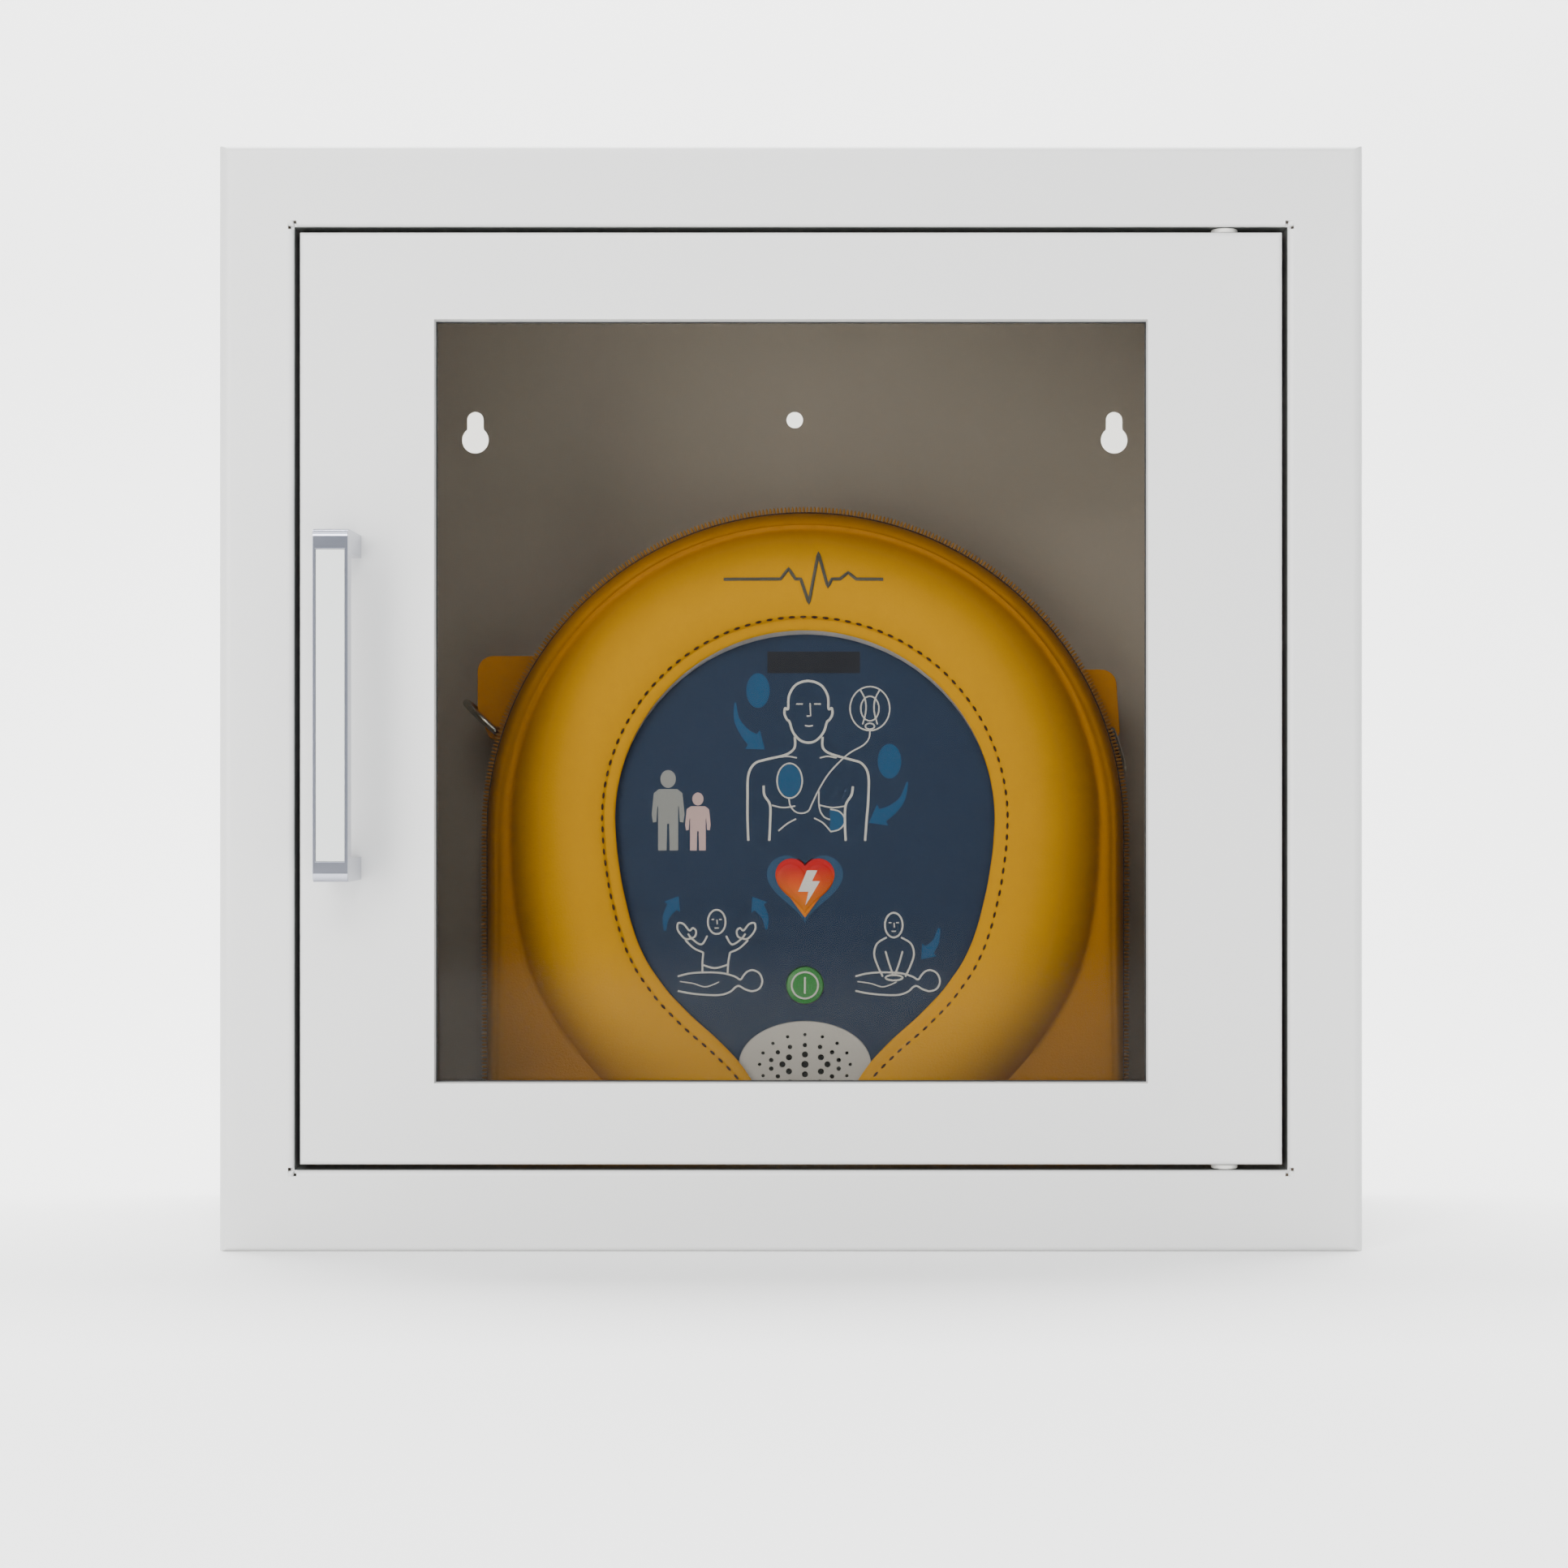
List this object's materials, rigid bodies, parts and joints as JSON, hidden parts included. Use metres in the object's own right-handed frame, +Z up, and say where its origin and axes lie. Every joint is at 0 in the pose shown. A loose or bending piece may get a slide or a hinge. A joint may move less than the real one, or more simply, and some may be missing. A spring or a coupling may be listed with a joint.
{
  "type": "wall cabinet with defibrillator",
  "caption": "Glazed wall cabinet with a hinged door, holding a defibrillator with shock and power buttons in a zipped carry case with a clear window.",
  "frame": {"origin": "centre of the back face, in the plane of the wall", "axes": "+Z up, +Y into the wall, +X to the viewer's right; the door faces -Y"},
  "size_m": [0.4, 0.192, 0.386],
  "materials": {
    "powder_coat": "white powder coat with a fine orange peel",
    "zinc_sheet": "zinc plated sheet",
    "white_nylon": "moulded nylon",
    "magnet": "dark sintered metal",
    "pane": "clear, slightly grey",
    "black_rubber": "soft black rubber",
    "handle_chrome": "polished chrome",
    "handle_inlay": "satin",
    "case_fabric": "fabric laminated on moulded foam",
    "clear_film": "clear soft film",
    "zip_coil": "nylon coil",
    "zip_metal": "nickel plated",
    "webbing": "twill webbing",
    "ring_steel": "nickel plated wire",
    "foam": "closed cell foam",
    "housing_plastic": "fine textured light grey",
    "overlay": "satin printed overlay",
    "shock_red": "translucent orange red",
    "power_green": "gloss green",
    "grille_grey": "light grey",
    "board_green": "solder mask",
    "capacitor": "dark blue sleeve",
    "black_plastic": "black",
    "cell_blue": "shrink sleeve",
    "pad_white": "foam backed",
    "tab_green": "soft lime green",
    "contact_brass": "gold plated contacts in a block"
  },
  "bodies": {
    "cabinet": {"cabinet_shell": "powder_coat", "back_panel": "zinc_sheet", "door_stop_tabs": "zinc_sheet", "hinge_pin_top": "white_nylon", "hinge_pin_bottom": "white_nylon", "hinge_washers": "white_nylon", "catch_bracket": "zinc_sheet", "catch_housing": "white_nylon", "catch_magnet": "magnet", "catch_screws": "zinc_sheet"},
    "door": {"door_panel": "powder_coat", "window_pane": "pane", "window_gasket": "black_rubber", "window_clips": "zinc_sheet", "window_clip_screws": "zinc_sheet", "hinge_block_top": "white_nylon", "hinge_block_bottom": "white_nylon", "handle_bar": "handle_chrome", "handle_inlay": "handle_inlay", "handle_screws": "zinc_sheet", "catch_strike": "zinc_sheet", "strike_rivets": "zinc_sheet"},
    "carry_case": {"case_back_shell": "case_fabric", "case_front_cover": "case_fabric", "case_window_film": "clear_film", "case_zip": "zip_coil", "strap_tab_left": "webbing", "strap_tab_right": "webbing", "foam_cradle": "foam", "aed_back_housing": "housing_plastic", "aed_front_housing": "housing_plastic", "aed_seal": "black_rubber", "front_overlay": "overlay", "switch_domes": "zip_metal", "speaker_grille": "grille_grey", "speaker_driver": "magnet", "main_board": "board_green", "board_spacers": "white_nylon", "shock_capacitor": "capacitor", "charge_transformer": "magnet", "discharge_relay": "black_plastic", "cartridge_housing": "housing_plastic", "battery_cells": "cell_blue", "electrode_pads": "pad_white", "cartridge_pull_tab": "tab_green", "contact_block": "contact_brass", "housing_screws": "zinc_sheet"},
    "shock_button": {"shock_button": "shock_red"},
    "power_button": {"power_button": "power_green"},
    "d_ring_left": {"d_ring_left": "ring_steel"},
    "d_ring_right": {"d_ring_right": "ring_steel"},
    "zip_slider": {"zip_slider": "zip_metal"},
    "zip_pull": {"zip_pull": "zip_metal"}
  },
  "joints": [
    {"name": "door_hinge", "type": "hinge", "parent": "cabinet", "child": "door", "pos_m": [0.152, -0.153, 0], "axis": [0, 0, 1], "range_deg": [0, 110]},
    {"name": "case_slide", "type": "slide", "parent": "cabinet", "child": "carry_case", "axis": [0, -1, 0], "range_m": [-0.002, 0.04]},
    {"name": "shock_press", "type": "slide", "parent": "carry_case", "child": "shock_button", "axis": [0, 1, 0], "range_m": [0, 0.0008], "stiffness_N_per_m": 1500, "springref_m": -0.0004},
    {"name": "power_press", "type": "slide", "parent": "carry_case", "child": "power_button", "axis": [0, 1, 0], "range_m": [0, 0.0008], "stiffness_N_per_m": 1500, "springref_m": -0.0004},
    {"name": "ring_left_swing", "type": "hinge", "parent": "carry_case", "child": "d_ring_left", "pos_m": [-0.115, -0.033, -0.00929], "axis": [0, -1, 0], "range_deg": [0, 117]},
    {"name": "ring_right_swing", "type": "hinge", "parent": "carry_case", "child": "d_ring_right", "pos_m": [0.1224, -0.033, -0.00929], "axis": [0, -1, 0], "range_deg": [-5, 116]},
    {"name": "zip_slider_run", "type": "slide", "parent": "carry_case", "child": "zip_slider", "axis": [0, 0, 1], "range_m": [0, 0.1]},
    {"name": "zip_pull_swing", "type": "hinge", "parent": "zip_slider", "child": "zip_pull", "pos_m": [0.1312, -0.0502, -0.15999], "axis": [0, -1, 0], "range_deg": [0, 150]}
  ]
}
